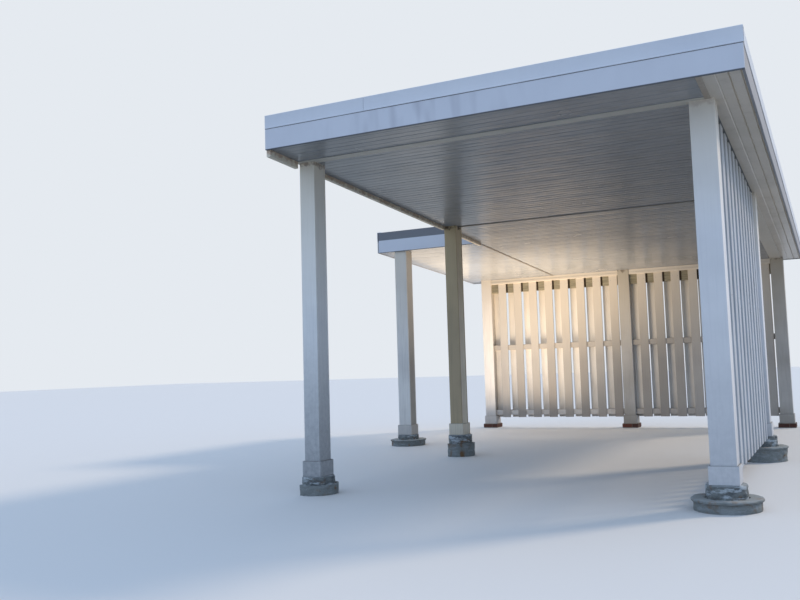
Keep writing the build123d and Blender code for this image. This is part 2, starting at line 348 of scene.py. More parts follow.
roofLook = dict(slope=math.tan(math.radians(3)), lip=0.006, fasciaHeight=0.300, board=0.019, deck=0.294)
frontLow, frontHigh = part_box("fascia_front")
frontY = frontLow.y
frontZ = frontHigh.z - roofLook["fasciaHeight"] + roofLook["lip"]
ceilingSum = frontZ + roofLook["slope"] * frontY    # z + slope y on the ceiling


def ceilingAt(y):
    # Height of the ceiling's visible face: straight down the slope from the front edge
    return frontZ - roofLook["slope"] * (y - frontY)


# Materials

def paintedTimber(name, look):
    # Softwood boards under old brushed alkyd paint: a soft sheen, faint grain under the film,
    # each board a little lighter or darker, rain streaks downwards, and darker towards the foot:
    # splashed dirt, and on the posts painted shade.
    material, shader, add = startMaterial(name)
    place = add("TexCoord")["Object"]
    x, _, z = add("SeparateXYZ", {}, {0: place})
    level = add("SeparateXYZ", {}, {0: add("NewGeometry")["Normal"]})["Z"]
    drop = add("VectorMath", {"operation": "DOT_PRODUCT", 1: (0, roofLook["slope"], 1)},
               {0: place})["Value"]
    tone = add("Attribute", {"attribute_name": "tone"})["Fac"]
    shade = add("Mix", {"data_type": "RGBA", 6: look["paint"], 7: look["shade"]}, {0: tone})[2]
    blotch = add("TexNoise", {"Scale": 2.5, "Detail": 3}, {0: place})["Fac"]
    wide = 1000 / look["streakWide"]
    stretched = add("Mapping", {"Scale": (wide, wide, 2.6), "Location": (7.3, 0, 0.4)},
                    {0: place})[0]
    streak = add("TexNoise", {"Scale": 1, "Detail": 1}, {0: stretched})["Fac"]
    near = []
    if "streakMiddle" in look:
        # Streaks only within streakReach of one place along X, fading out
        away = add("Math", {"operation": "SUBTRACT", 1: look["streakMiddle"]}, {0: x})[0]
        away = add("Math", {"operation": "ABSOLUTE"}, {0: away})[0]
        near = [add("MapRange", {"From Max": look["streakReach"], "To Min": 1,
                    "To Max": look["streakRest"]}, {0: away})[0]]
    stain = add("TexNoise", {"Scale": 16, "Detail": 4, "Roughness": 0.6}, {0: place})["Fac"]
    top = add("MapRange", {"From Min": ceilingSum - look["stainReach"],
              "From Max": ceilingSum - 0.02, "To Min": -0.5, "To Max": 0.12}, {0: drop})[0]
    stain = add("Math", {"operation": "ADD"}, {0: stain, 1: top})[0]
    speck = add("TexNoise", {"Scale": 28, "Detail": 5, "Roughness": 0.65}, {0: place})["Fac"]
    soft = add("MapRange", {"To Min": 0.3, "To Max": 0.7}, {0: speck})[0]
    layers = [
        # Blotches about 400 mm across, and rain streaks that run down the face
        (blotch, 0.42, 0.75, 0, look["blotch"], look["dirt"]),
        (streak, 0.48, 0.8, 0, look["streak"], look["dirt"], *near),
        # A tint towards the ceiling, fading out below it, and brown stains at the top
        (drop, ceilingSum - look["topTintReach"], ceilingSum, 0, look["yellow"], look["yellowed"]),
        (stain, 0.5, 0.66, 0, look["stain"], look["rust"]),
        # Darker from the foot up: splashed dirt, and on the posts, where it reaches far up, painted
        # shade
        (z, 0.05, look["splashAndShadeReach"], look["splash"], 0, look["dirt"], soft),
        # Up-facing ledges made darker
        (level, 0.5, 0.9, 0, 0.85, look["ledgeDarkening"])]
    if "edgeLine" in look:
        # Painted shadow: a dark line along the fascia's foot, and a dark band in the corner under the
        # drip edge
        line, shadow = ceilingSum + look["edgeLine"], look["edgeShade"]
        layers += [(drop, ceilingSum + 0.002, ceilingSum, 0, look["footLine"], look["footShadow"]),
                   (drop, line - 1.6 * shadow, line - shadow, 0, 0.8, look["edgeDirt"])]
    shade = layOver(add, shade, layers)
    # Grain lines 3 mm apart under the film, and brush marks
    grain = add("Attribute", {"attribute_name": "grain"})["Vector"]
    lines = add("Mapping", {"Scale": (330, 6, 330)}, {0: grain})[0]
    lines = add("TexNoise", {"Scale": 1, "Detail": 3}, {0: lines})["Fac"]
    rough = add("MapRange", {"To Min": look["gloss"], "To Max": look["gloss"] + 0.2}, {0: speck})[0]
    finish(add, shader, shade, rough, lines, look["grain"], 0.0006)
    return material


def coatedAluminium(name, look):
    # Roll-formed aluminium with a baked coat: smooth, even and glossy, slightly wavy between
    # its bends, with faint runs of dirt and a chalky bloom where rain reaches it.
    material, shader, add = startMaterial(name)
    place = add("TexCoord")["Object"]
    stretched = add("Mapping", {"Scale": look["run"]}, {0: place})[0]
    streak = add("TexNoise", {"Scale": 1, "Detail": 3}, {0: stretched})["Fac"]
    blotch = add("TexNoise", {"Scale": 1.7, "Detail": 4}, {0: place})["Fac"]
    blotch = add("MapRange", {"From Min": 0.35, "From Max": 0.7}, {0: blotch})[0]
    shade = add("Mix", {"data_type": "RGBA", 6: look["coat"], 7: look["shade"]}, {0: blotch})[2]
    shade = layOver(add, shade, [(streak, 0.5, 0.8, 0, look["streak"], look["dirt"])])
    rough = add("MapRange", {"To Min": look["gloss"], "To Max": look["gloss"] + 0.08},
                {0: blotch})[0]
    fine = add("TexNoise", {"Scale": 260, "Detail": 2}, {0: place})["Fac"]
    finish(add, shader, shade, rough, fine, 0.05, 0.0004)
    return material


def roughConcrete(name, look):
    # Hand-placed concrete, weathered: sand and stone at the surface, pits, and stains, dark
    # ones of damp and ochre ones of dirt.
    material, shader, add = startMaterial(name)
    place = add("TexCoord")["Object"]
    mottled = add("Attribute", {"attribute_name": "tone"})["Fac"]
    level = add("SeparateXYZ", {}, {0: add("NewGeometry")["Normal"]})["Z"]
    # Cloudy damp, in flat layers
    layers = add("Mapping", {"Scale": (0.7, 0.7, 2.2)}, {0: place})[0]
    cloud = add("TexNoise", {"Scale": 14, "Detail": 6, "Roughness": 0.7}, {0: layers})["Fac"]
    cloud = add("MapRange", {"From Min": 0.35, "From Max": 0.68}, {0: cloud})[0]
    cloud = add("Math", {"operation": "MULTIPLY"}, {0: cloud, 1: mottled})[0]
    shade = add("Mix", {"data_type": "RGBA", 6: look["light"], 7: look["dark"]}, {0: cloud})[2]
    soil = add("TexNoise", {"Scale": 9, "Detail": 4, "Distortion": 0.6}, {0: place})["Fac"]
    shade = layOver(add, shade, [(soil, 0.56, 0.7, 0, look["soilAmount"], look["soil"])])
    # Sand grains of about 2 mm
    sand = add("TexVoronoi", {"Scale": 420}, {0: place})["Distance"]
    shade = add("Mix", {"data_type": "RGBA", "blend_type": "OVERLAY", 0: 0.35},
                {6: shade, 7: sand})[2]
    # Flat tops washed pale by rain, and chalky blotches
    washed = add("MapRange", {"From Min": 0.4, "From Max": 0.9, "To Max": look["washed"]},
                 {0: level})[0]
    chalk = add("TexNoise", {"Scale": 11, "Detail": 5, "Roughness": 0.7}, {0: layers})["Fac"]
    chalk = add("MapRange", {"From Min": 0.51, "From Max": 0.6, "To Max": look["chalk"]},
                {0: chalk})[0]
    chalk = add("Math", {"operation": "MULTIPLY"}, {0: chalk, 1: mottled})[0]
    pale = add("Math", {"operation": "MAXIMUM"}, {0: washed, 1: chalk})[0]
    shade = add("Mix", {"data_type": "RGBA", 7: look["pale"]}, {0: pale, 6: shade})[2]
    grit = add("TexNoise", {"Scale": 160, "Detail": 6, "Roughness": 0.75}, {0: place})["Fac"]
    finish(add, shader, shade, 0.92, grit, 0.7, 0.002)
    return material


def firedBrick(name, look):
    # Wire-cut clay brick: dark red to brown, each brick its own shade, with fine pores
    material, shader, add = startMaterial(name)
    place = add("TexCoord")["Object"]
    tone = add("Attribute", {"attribute_name": "tone"})["Fac"]
    cloud = add("TexNoise", {"Scale": 40, "Detail": 5, "Roughness": 0.7}, {0: place})["Fac"]
    both = add("Math", {"operation": "MULTIPLY_ADD", 1: 0.6, "use_clamp": True},
               {0: tone, 2: cloud})[0]
    both = add("MapRange", {"From Min": 0.3, "From Max": 1.1}, {0: both})[0]
    shade = add("Mix", {"data_type": "RGBA", 6: look["red"], 7: look["brown"]}, {0: both})[2]
    pores = add("TexNoise", {"Scale": 420, "Detail": 4}, {0: place})["Fac"]
    finish(add, shader, shade, 0.88, pores, 0.5, 0.001)
    return material


def bareTimber(name, look):
    # Sawn softwood, gone grey-brown: rings drawn as long wavy lines along each board
    material, shader, add = startMaterial(name)
    if look["ownGrain"]:
        grain = add("Attribute", {"attribute_name": "grain"})["Vector"]
    else:
        grain = add("TexCoord")["Object"]
    lines = add("Mapping", {"Scale": look["scale"]}, {0: grain})[0]
    lines = add("TexNoise", {"Scale": 1, "Detail": 4, "Distortion": 0.4}, {0: lines})["Fac"]
    spread = add("MapRange", {"From Min": 0.35, "From Max": 0.68}, {0: lines})[0]
    shade = add("Mix", {"data_type": "RGBA", 6: look["light"], 7: look["dark"]}, {0: spread})[2]
    finish(add, shader, shade, 0.8, lines, 0.4, 0.001)
    return material


def mineralFelt(name, look):
    # Asphalt roll roofing: slate granules of 1 to 2 mm in black bitumen, faded and streaked
    material, shader, add = startMaterial(name)
    place = add("TexCoord")["Object"]
    granule = add("TexVoronoi", {"Scale": 550}, {0: place})["Color"]
    speck = add("SeparateColor", {}, {0: granule})[0]
    cloud = add("TexNoise", {"Scale": 1.3, "Detail": 6, "Roughness": 0.6}, {0: place})["Fac"]
    both = add("Mix", {0: 0.5}, {2: speck, 3: cloud})[0]
    tone = add("Attribute", {"attribute_name": "tone"})["Fac"]
    both = add("Mix", {0: look["stripShare"]}, {2: both, 3: tone})[0]
    shade = add("Mix", {"data_type": "RGBA", 6: look["dark"], 7: look["light"]}, {0: both})[2]
    finish(add, shader, shade, 0.95, speck, 0.6, 0.0015)
    return material


def galvanised(name, look):
    # Hot-dipped nail heads, dulled: light grey zinc
    material, shader, add = startMaterial(name)
    place = add("TexCoord")["Object"]
    spangle = add("TexNoise", {"Scale": 300}, {0: place})["Fac"]
    shade = add("Mix", {"data_type": "RGBA", 6: look["dark"], 7: look["light"]}, {0: spangle})[2]
    shader.id_data.links.new(shade, shader.inputs["Base Color"])
    shader.inputs["Metallic"].default_value = 0.7
    shader.inputs["Roughness"].default_value = 0.5
    return material


# Paints: paint and shade are the two ends of a board's tone, and reaches are in metres
# On the posts' sides and on the screens' front and back boards, paint and shade stand for lit and shaded
# faces: painted light and shade
plainPaint = dict(
    blotch=0.2, streak=0.15, streakWide=18, splash=0, splashAndShadeReach=0.42, yellow=0,
    yellowed="#D6DAE1", topTintReach=1.0, stain=0, stainReach=0.14, rust="#8A6445", gloss=0.45,
    grain=0.3, ledgeDarkening="#4B4842", footShadow="#39434D", edgeDirt="#3F444C")
paintLooks = dict(
    postPaint=dict(
        paint="#EAEAEA", shade="#F2F1F0", dirt="#80858C", blotch=0.12, streak=0.06, splash=0.9,
        splashAndShadeReach=1.4, yellowed="#F0E4CC", yellow=0.75, stain=0.25, gloss=0.42, grain=0.35),
    wallPostPaint=dict(
        paint="#F7F6F2", shade="#EDEDEA", dirt="#7A7D81", blotch=0.15, streak=0.1, splash=1.6,
        splashAndShadeReach=1.7, yellowed="#EDE1C8", yellow=0.85, topTintReach=1.5, rust="#6E4A30",
        stain=0.6, gloss=0.42, grain=0.35),
    shadedPostPaint=dict(
        paint="#B5A17F", shade="#F2E8D3", dirt="#7A7163", blotch=0.3, streak=0.2, splash=0.8,
        yellowed="#D0B788", yellow=0.75, topTintReach=1.6, rust="#4E3A2A", stain=0.9, grain=0.4),
    # Greyer and darker than the other posts' paint: painted shade on the rear middle and right posts
    rearPostPaint=dict(
        paint="#B9B6B0", shade="#A8A6A3", dirt="#7A7163", blotch=0.3, streak=0.2, splash=0.8,
        yellowed="#B3A78F", yellow=0.7, topTintReach=1.4, rust="#4E3A2A", stain=0.6, grain=0.4),
    fasciaPaint=dict(
        paint="#DADDE4", shade="#D6DAE1", dirt="#9A9BA6", blotch=0.08, streak=0.45, streakWide=95,
        streakMiddle=0.3, streakReach=1.1, streakRest=0.06, edgeLine=0.181, edgeShade=0.004,
        footLine=0.9, grain=0.12),
    # A darker copy of the fascia paint for the sides: painted shade
    sideFasciaPaint=dict(
        paint="#A7A8AC", shade="#9FA0A4", dirt="#808083", blotch=0.15, streak=0.3, streakWide=30,
        edgeLine=0.181, edgeShade=0.020, footLine=0.25, grain=0.12),
    # A darker, bluer copy of the rear screens' paint: painted shade on the side screen
    sideScreenPaint=dict(
        paint="#C6CBD0", shade="#BAC0C6", dirt="#80807F", blotch=0.22, streak=0.18, splash=0.8,
        yellowed="#C4BFB6", yellow=0.6, topTintReach=0.8, gloss=0.5, grain=0.45),
    screenPaint=dict(
        paint="#F2EEE6", shade="#9F9A92", dirt="#8E8480", blotch=0.22, streak=0.18, splash=0.8,
        yellowed="#E2D5C0", yellow=0.8, topTintReach=1.5, gloss=0.5, grain=0.45),
    trimPaint=dict(
        paint="#DBD8D0", shade="#D2CFC6", dirt="#958C7E", yellowed="#D2C8B4", yellow=0.5),
    frontTrimPaint=dict(
        paint="#D6D4CA", shade="#CFCDC3", dirt="#A39C8E", yellowed="#CCC4B2", yellow=0.5),
    dimTrimPaint=dict(
        paint="#6E675D", shade="#625C53", dirt="#4E4840", yellowed="#6A6155", yellow=0.5),
    # Dark at the paint end: painted shade on the middle trim
    midTrimPaint=dict(paint="#514B43", shade="#857F76", dirt="#4E4840"),
    # Darker than the other trim paint: painted shade on the corner trim
    cornerTrimPaint=dict(
        paint="#BDB5A8", shade="#B1A99C", dirt="#857B6C", yellowed="#B3A997", yellow=0.5, stain=0.2),
    wallTrimPaint=dict(
        paint="#F6EEDD", shade="#EEE5D1", dirt="#BCAA8E", blotch=0.2, streakWide=30,
        yellowed="#DCCDAC", yellow=0.5, topTintReach=0.2, rust="#9A5F36", stain=0.45, gloss=0.5))
paints = {name: paintedTimber(name, dict(plainPaint, **look)) for name, look in paintLooks.items()}

headerWood = bareTimber("headerWood", dict(
    ownGrain=True, scale=(60, 4, 60), light="#9E967E", dark="#77705C"))
# Nearly black: painted shadow in the header's slits
slitShadow = bareTimber("slitShadow", dict(
    ownGrain=True, scale=(60, 4, 60), light="#3C2F1E", dark="#2C2216"))
framingWood = bareTimber("framingWood", dict(
    ownGrain=False, scale=(60, 1.2, 60), light="#C2A578", dark="#A68558"))
edgeMetal = coatedAluminium("edgeMetal", dict(
    coat="#E2E6EC", shade="#DADFE7", dirt="#A9ABAF", streak=0.06, run=(14, 14, 2), gloss=0.3))
# The right soffit's coat is lighter and warmer than the ceiling's, though the panels are alike: painted
# warm light
warmLitSoffitMetal = coatedAluminium("warmLitSoffitMetal", dict(
    coat="#D9CFBF", shade="#CFC6B5", dirt="#A4977F", streak=0.3, run=(9, 9, 9), gloss=0.3))
# The ceiling's coat is a mid grey, darker than the white panels are: painted shade under the roof
shadedCeilingMetal = coatedAluminium("shadedCeilingMetal", dict(
    coat="#9B9E9F", shade="#909395", dirt="#6E6A62", streak=0.25, run=(5, 14, 5), gloss=0.2))
pierConcrete = roughConcrete("pierConcrete", dict(
    light="#858986", dark="#4B5053", soil="#75532A", soilAmount=0.85, pale="#B6BDC0", washed=0.25,
    chalk=0.9))
brick = firedBrick("brick", dict(red="#6E3D2E", brown="#44302A"))
mortar = roughConcrete("mortar", dict(
    light="#8B8378", dark="#6D665D", soil="#6B5B45", soilAmount=0.3, pale="#A39C91", washed=0.3,
    chalk=0.3))
roofFelt = mineralFelt("roofFelt", dict(dark="#5C5A57", light="#A8A49D", stripShare=0.4))
nailZinc = galvanised("nailZinc", dict(dark="#8E8F92", light="#B9BABC"))
print("materials made")


# Posts: four boards boxed round a core, and a skirt of four boards at the foot

postLook = dict(
    board=0.019, skirtBoard=0.015, skirtHeight=0.136, bevel=0.006, chamfer=0.0015, seamGap=0.0025,
    inset=0.0006, faceChamfer=0.002, faceBow=0.0005, bow=0.0004,
    # The left and right boards take the shade end of the paint, lighter or darker than the fronts as
    # painted light and shade on the sides
    tones=(0.05, 0.1, 0.95, 0.85))    # of the front, back, left and right board


def makePost(node, look, paint, seed):
    # Upright boards from the foot to the ceiling's slope, and level ones round the foot
    low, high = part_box(node)
    skirt, half = look["skirtBoard"], look["board"] / 2
    x0, x1, y0, y1 = low.x + skirt, high.x - skirt, low.y + skirt, high.y - skirt
    midX, midY = (x0 + x1) / 2, (y0 + y1) / 2
    inset = half + look["inset"]
    face = boardSection(x1 - x0, look["board"], look["faceChamfer"])
    side = boardSection(y1 - y0 - 4 * half - 2 * look["seamGap"], look["board"], look["chamfer"])
    boards = ((face, midX, y0 + half, right, back, look["faceBow"]),
              (face, midX, y1 - half, right, back, look["faceBow"]),
              (side, x0 + inset, midY, back, right, look["bow"]),
              (side, x1 - inset, midY, back, right, look["bow"]))
    parts = []
    for (section, x, y, across, out, bow), tone in zip(boards, look["tones"]):
        part = carry(section, (x, y, low.z), (x, y, ceilingAt(y)), across, out, steps=12, bow=bow,
                     rake=roofLook["slope"], seed=seed + len(parts))
        part["tone"] = np.full(len(part["points"]), tone)
        parts.append(part)
    section = boardSection(look["skirtHeight"], skirt, look["chamfer"], look["bevel"])
    half, z = skirt / 2, low.z + look["skirtHeight"] / 2
    for xa, ya, xb, yb, out in ((low.x, low.y + half, high.x, low.y + half, front),
                                (low.x, high.y - half, high.x, high.y - half, back),
                                (low.x + half, y0, low.x + half, y1, left),
                                (high.x - half, y0, high.x - half, y1, right)):
        parts.append(carry(section, (xa, ya, z), (xb, yb, z), up, out, steps=3,
                           seed=seed + len(parts)))
    makePiece(pieceName(node), parts, [paint], [node])


postPaints = dict(
    post_front_left="wallPostPaint", post_front_right="postPaint", post_mid_left="shadedPostPaint",
    post_mid_right="postPaint", post_rear_left="screenPaint", post_rear_mid="rearPostPaint",
    post_rear_right="rearPostPaint", post_extension="screenPaint")
for number, (node, paint) in enumerate(postPaints.items()):
    makePost(node, postLook, paints[paint], 100 + 10 * number)
print("posts made")


# Screens: boards on both faces of rails, staggered by half a pitch, nailed at each rail

screenLook = dict(
    board=0.019, slat=0.140, slatChamfer=0.0025, bow=0.0012, tilt=0.0018,
    rail=0.089, railChamfer=0.003, railBow=0.0008, lift=0.040, header=0.155, headerChamfer=0.002,
    plate=0.038, plateProud=0.019, frieze=0.045, friezeBack=0.004, friezeChamfer=0.001,
    slit=0.032, slitProud=0.004, slitChamfer=0.0005, frontTone=0.9, backLightTone=0.1, toneSpread=0.3,
    rearFirst=0.130, rearLast=0.018, rearCount=8,
    sideFirst=0.116, sideLast=0.010, sideCount=11, sideFrieze=0.025,
    nail=0.0045, nailProud=0.001, nailSunk=0.0004, nailSpread=0.042, nailStray=(0.004, 0.006))


def slatCentres(low, high, count, first, last, look):
    # Centres of the front boards, evenly spread, and of the back boards in the middle of each gap
    slat = look["slat"]
    starts = low + first + np.arange(count) * (high - low - first - slat - last) / (count - 1)
    gaps = (np.concatenate([[low], starts[:-1] + slat]) + starts) / 2
    return starts + slat / 2, gaps


def nails(centres, levels, side, face, out, look, seed):
    # Two nail heads to each board at each rail: flat discs proud of the board's face. side is 0
    # for boards spread along X and 1 for boards spread along Y, face is the other coordinate,
    # and out is the way the heads stand out, 1 or -1.
    rng = np.random.default_rng(seed)
    strayAlong, strayUp = look["nailStray"]
    pair = np.array([-look["nailSpread"], look["nailSpread"]])[None, :, None]
    spread = (centres[:, None, None] + pair
              + rng.normal(0, strayAlong, (len(centres), 2, len(levels))))
    height = np.array(levels)[None, None, :] + rng.normal(0, strayUp, spread.shape)
    sunk = face - look["nailSunk"] * out
    x, y = (sunk, spread.ravel()) if side else (spread.ravel(), sunk)
    starts = spots(x, y, height.ravel())
    stand = look["nailProud"] * out
    turn = np.linspace(0, 2 * np.pi, 8, endpoint=False)
    disc = look["nail"] * np.stack([np.cos(turn), np.sin(turn)], -1)
    return carry(disc, starts, starts + np.array([stand * side, stand * (1 - side), 0]),
                 (1 - side, side, 0), up, seed=seed, material=2)


def rearScreen(node, look, seed):
    # Along X, from the front: plate and frieze over all, front boards, rails and header, back
    # boards. Everything hangs from the ceiling's height at the front boards.
    low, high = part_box(node)
    board, rail, header, plate = (look[key] for key in ("board", "rail", "header", "plate"))
    y0 = low.y + look["plateProud"]
    railY, backY = y0 + board + rail / 2, y0 + board + rail
    plateTop = ceilingAt(y0) - look["frieze"]
    plateLow = plateTop - plate
    levels = (low.z + look["lift"] + rail / 2, (low.z + plateLow + rail) / 2, plateLow - header / 2)

    def member(wide, thick, chamfer, y, z, across, out, number, **more):
        # A straight piece from end to end of the screen
        return carry(boardSection(wide, thick, chamfer), (low.x, y, z), (high.x, y, z), across, out,
                     seed=seed + number, **more)

    parts = [member(rail, rail, look["railChamfer"], railY, z, up, back, number, steps=6,
                    bow=look["railBow"]) for number, z in enumerate(levels[:2])]
    parts.append(member(header, rail, look["headerChamfer"], railY, levels[2], up, back, 3, steps=6,
                        material=1))
    deep = backY + board - low.y
    parts.append(member(deep, plate, look["railChamfer"], low.y + deep / 2, plateTop - plate / 2,
                        back, up, 4, steps=8, bow=look["bow"]))
    friezeFront = low.y + look["friezeBack"]
    deep = backY + board - friezeFront
    y = friezeFront + deep / 2
    tall = ceilingAt(y) - plateTop
    frieze = member(deep, tall, look["friezeChamfer"], y, plateTop + tall / 2, back, up, 5, steps=4)
    points = frieze["points"]
    points[:, 2] = np.minimum(points[:, 2], ceilingAt(points[:, 1]))
    parts.append(frieze)
    fronts, backs = slatCentres(low.x, high.x, look["rearCount"], look["rearFirst"],
                                look["rearLast"], look)
    slatSection = boardSection(look["slat"], board, look["slatChamfer"])
    # The front boards take the shade end of the paint and the back boards the paint end: painted shade
    # on the front boards and painted light on the back boards
    for centres, y, tone in ((fronts, y0 + board / 2, look["frontTone"]),
                             (backs, backY + board / 2, look["backLightTone"])):
        slats = carry(slatSection, spots(centres, y, low.z), spots(centres, y, plateLow), right, back,
                      steps=8, bow=look["bow"], tilt=look["tilt"], seed=seed + 6 + len(parts))
        slats["tone"] = np.clip(tone + look["toneSpread"] * (slats["tone"] - 0.5), 0, 1)
        parts.append(slats)
    # Painted shadow: a dark strip on the header, to the right of each front board, where the gap behind
    # lies in shade
    slits = fronts[:-1] + (look["slat"] + look["slit"]) / 2
    dark = carry(boardSection(look["slit"], look["slitProud"], look["slitChamfer"]),
                 spots(slits, y0 + board, plateLow - header), spots(slits, y0 + board, plateLow),
                 right, back, steps=2, seed=seed + 18, material=3)
    parts += [dark, nails(fronts, levels, 0, y0, -1, look, seed + 20),
              nails(backs, levels, 0, backY + board, 1, look, seed + 21)]
    makePiece(pieceName(node), parts, [paints["screenPaint"], headerWood, nailZinc, slitShadow],
              [node])


def sideScreen(node, look, seed):
    # Along Y, cut to the ceiling's slope at the top: front boards face out, to the right
    low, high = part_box(node)
    y0, y1, outer, inner = low.y, high.y, high.x, low.x
    board, rail, header = look["board"], look["rail"], look["header"]
    railX = outer - board - rail / 2
    levels = (low.z + look["lift"] + rail / 2, (low.z + ceilingAt(y1) + rail) / 2)
    railSection = boardSection(rail, rail, look["railChamfer"])
    parts = [carry(railSection, (railX, y0, z), (railX, y1, z), up, right, steps=6,
                   bow=look["railBow"], seed=seed + number) for number, z in enumerate(levels)]
    parts.append(carry(boardSection(header, rail, look["headerChamfer"]),
                       (railX, y0, ceilingAt(y0) - header / 2),
                       (railX, y1, ceilingAt(y1) - header / 2), up, right, steps=6, seed=seed + 3,
                       material=1))
    fronts, backs = slatCentres(y0, y1, look["sideCount"], look["sideFirst"], look["sideLast"], look)
    slatSection = boardSection(look["slat"], board, look["slatChamfer"])
    for centres, x, short in ((fronts, outer - board / 2, look["sideFrieze"]),
                              (backs, inner + board / 2, 0)):
        parts.append(carry(slatSection, spots(x, centres, low.z),
                           spots(x, centres, ceilingAt(centres) - short), back, right, steps=8,
                           bow=look["bow"], rake=roofLook["slope"], tilt=look["tilt"],
                           seed=seed + 6 + len(parts)))
    parts += [nails(fronts, levels, 1, outer, 1, look, seed + 20),
              nails(backs, levels, 1, inner, -1, look, seed + 21)]
    makePiece(pieceName(node), parts, [paints["sideScreenPaint"], headerWood, nailZinc],
              [node])


rearScreen("screen_rear_left", screenLook, 300)
rearScreen("screen_rear_right", screenLook, 340)
sideScreen("screen_side", screenLook, 380)
print("screens made")


# Fascias and drip edges

edgeLook = dict(
    height=0.119, proud=0.005, flange=0.060, fold=0.006, lap=0.0007, slit=0.003,
    stock=3.048, firstJoint=0.998, wave=0.00035, fasciaChamfer=0.0015, fasciaWave=0.0005)


def outerLine(node, out, inset, reach, lift):
    # From end to end of a node's outer side, set in by inset and at lift above the ceiling's
    # line. Across the front and back that line is taken at reach inside the side.
    low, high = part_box(node)
    if out[1]:
        side = high.y if out[1] > 0 else low.y
        y, z = side - out[1] * inset, ceilingAt(side - out[1] * reach) + lift
        return (low.x, y, z), (high.x, y, z)
    x = high.x - inset if out[0] > 0 else low.x + inset
    return (x, low.y, ceilingAt(low.y) + lift), (x, high.y, ceilingAt(high.y) + lift)


def fasciaRun(node, out, paint, name, look, seed):
    # A board, pushed inwards by an uneven field
    board, height = roofLook["board"], roofLook["fasciaHeight"]
    start, end = outerLine(node, out, board / 2, 0, height / 2 - roofLook["lip"])
    part = carry(boardSection(height, board, look["fasciaChamfer"]), start, end, up, out,
                 steps=40, seed=seed)
    wave = np.clip(ripple(part["points"][:, :2], 0.7, seed), -1, 1)
    part["points"] -= (look["fasciaWave"] * (1 + wave))[:, None] * np.array(out)
    makePiece(name, [part], [paints[paint]], [node])


def edgeSection(look):
    # Outline of the folded strip: a is inwards from its outer face, b is up from the leg's end.
    # A hem at the foot and a round bead at the top stand 1 mm out from the flat of the leg.
    h, f, p, t = look["height"], look["flange"] + look["proud"], look["proud"], look["fold"]
    return np.array([(0, 0.0015), (0.0015, 0), (p, 0), (p, h - t), (f, h - t), (f, h - 0.0015),
                     (f - 0.001, h), (0.004, h), (0.0015, h - 0.0008), (0.0003, h - 0.0025),
                     (0.0003, h - 0.006), (0.0012, h - 0.009), (0.0012, 0.011), (0, 0.009)])


def edgeRun(node, out, joints, look, seed):
    # Lengths of strip from joint to joint. Every other one lies over its neighbours' ends.
    leg = roofLook["fasciaHeight"] - roofLook["lip"] + look["fold"] - look["height"]
    start, end = (np.array(p) for p in outerLine(node, out, 0, look["proud"], leg))
    inward = -np.array(out)
    length = np.linalg.norm(end - start)
    cuts = [0, *[joint / length for joint in joints], 1]
    section = edgeSection(look)
    flat = section[:, 0] < look["proud"] / 2
    parts = []
    for i, (a, b) in enumerate(zip(cuts[:-1], cuts[1:])):
        shift = inward * ((i + 1) % 2 * look["lap"])
        slit = look["slit"] / length * (a > 0)
        part = carry(section, start + (a + slit) * (end - start) + shift,
                     start + b * (end - start) + shift, inward, up, steps=30, seed=seed + i)
        wave = np.tile(flat, len(part["points"]) // len(section)) * look["wave"]
        uneven = 1 + np.clip(ripple(part["points"], 0.5, seed + i), -1, 1)
        part["points"] += (wave * uneven)[:, None] * inward
        parts.append(part)
    makePiece(pieceName(node), parts, [edgeMetal], [node])


fascias = (("fascia_front", front, "fasciaPaint", "fasciaFront"),
           ("fascia_rear", back, "fasciaPaint", "fasciaRear"),
           ("fascia_right", right, "sideFasciaPaint", "fasciaRight"),
           ("fascia_left", left, "sideFasciaPaint", "fasciaLeft"),
           ("extension_ledger", front, "fasciaPaint", "extensionFascia"))
for number, (node, out, paint, name) in enumerate(fascias):
    fasciaRun(node, out, paint, name, edgeLook, 500 + number)
stock = edgeLook["stock"]
strips = (("roof_edge_front", front, (edgeLook["firstJoint"],)), ("roof_edge_rear", back, (stock,)),
          ("roof_edge_right", right, (stock, 2 * stock)), ("roof_edge_left", left, (stock,)))
for number, (node, out, joints) in enumerate(strips):
    edgeRun(node, out, joints, edgeLook, 510 + 10 * number)
print("fascias and edges made")


# Ceilings: roll-formed panels with three V ribs to each 254 mm, hung a little unevenly

panelLook = dict(
    pitch=0.0847, groove=0.008, depth=0.0024, joint=0.012, jointDepth=0.005, crown=0.001,
    flats=(0.35, 0.65),    # stops between two ribs, as shares of the pitch
    thick=0.012, step=0.11, sag=0.0006, sagMost=0.002, waves=(1.1, 0.45))
deepPanel = dict(panelLook, depth=0.005, jointDepth=0.009, crown=0.0024)
soffitPanel = dict(panelLook, depth=0.004, jointDepth=0.007, crown=0.0008)
sidePanel = dict(panelLook, groove=0.014, depth=0.011, joint=0.014, crown=0)


def ribStops(start, end, first, phase, look):
    # Stations across the ribs, as (place, height): up into a small V at each rib, and into a
    # wide one where number - phase divides by 3, which is the joint of two panels. Between
    # joints the panel hangs down by crown * 4 u (1 - u), with u from 0 to 1.
    pitch = look["pitch"]
    centre = start + first + look["groove"] / 2
    number = np.arange(int((end - centre - look["joint"] / 2) // pitch) + 1)
    isJoint = (number - phase) % 3 == 0
    half = np.where(isJoint, look["joint"], look["groove"]) / 2
    deep = np.where(isJoint, look["jointDepth"], look["depth"])
    flats = [0 * half + pitch * share for share in look["flats"]]
    place = centre + number[:, None] * pitch + np.stack([-half, 0 * half, half, *flats], -1)
    height = np.zeros(place.shape)
    height[:, 1] = deep
    keep = (place < end) & (place > start)
    place = np.concatenate([[start], place[keep], [end]])
    height = np.concatenate([[0], height[keep], [0]])
    u = ((place - centre) / pitch - phase) / 3 % 1
    return place, height - look["crown"] * 4 * u * (1 - u)


